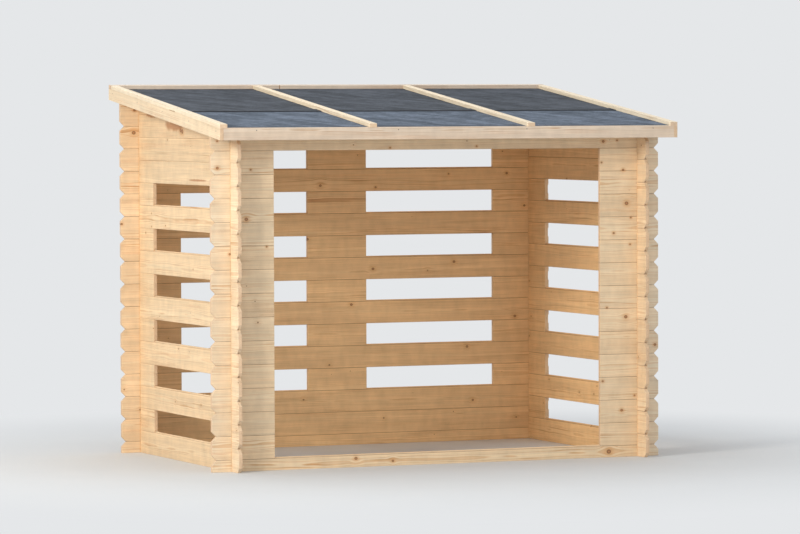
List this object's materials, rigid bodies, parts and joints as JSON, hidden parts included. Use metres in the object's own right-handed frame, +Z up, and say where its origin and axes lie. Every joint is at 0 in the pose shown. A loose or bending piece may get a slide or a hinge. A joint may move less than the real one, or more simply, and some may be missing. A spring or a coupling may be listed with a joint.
{
  "type": "log store",
  "caption": "Open-fronted firewood store of interlocking wall logs with slotted sides and back under a mono-pitch felt roof.",
  "frame": {"origin": "middle of the footprint of the whole store, on the ground", "axes": "+Z up, the open front faces -Y, +X to the right when seen from the front"},
  "size_m": [2.55, 1.669, 1.9611],
  "materials": {
    "wall_log": "fresh planed spruce, unpainted, small dark knots",
    "sill_log": "planed spruce, slightly pinker and duller near the ground",
    "trim_board": "planed softwood trim, matt",
    "batten": "pale planed batten, matt",
    "roof_board": "sawn tongue-and-groove roof boards",
    "roof_felt": "slate-grey mineral roofing felt, rough"
  },
  "bodies": {
    "root": {"front_sill": "sill_log", "front_stubs_left_even": "wall_log", "front_stubs_left_odd": "wall_log", "front_stubs_right_even": "wall_log", "front_stubs_right_odd": "wall_log", "front_lintel": "wall_log", "left_wall_logs": "wall_log", "left_wall_front_blocks": "wall_log", "left_wall_rear_blocks": "wall_log", "left_wall_upper_log": "wall_log", "left_wall_gable_log": "wall_log", "left_wall_wedge": "wall_log", "right_wall_logs": "wall_log", "right_wall_front_blocks": "wall_log", "right_wall_rear_blocks": "wall_log", "right_wall_upper_log": "wall_log", "right_wall_gable_log": "wall_log", "right_wall_wedge": "wall_log", "back_sill": "sill_log", "back_first_log": "wall_log", "back_wall_logs": "wall_log", "back_left_blocks": "wall_log", "back_middle_blocks": "wall_log", "back_right_blocks": "wall_log", "back_top_log": "wall_log", "roof_deck": "roof_board", "felt_lower": "roof_felt", "felt_upper": "roof_felt", "roof_fascia": "trim_board", "left_barge_board": "trim_board", "right_barge_board": "trim_board", "left_edge_batten": "batten", "right_edge_batten": "batten", "middle_battens": "batten", "back_batten": "batten"}
  },
  "joints": []
}
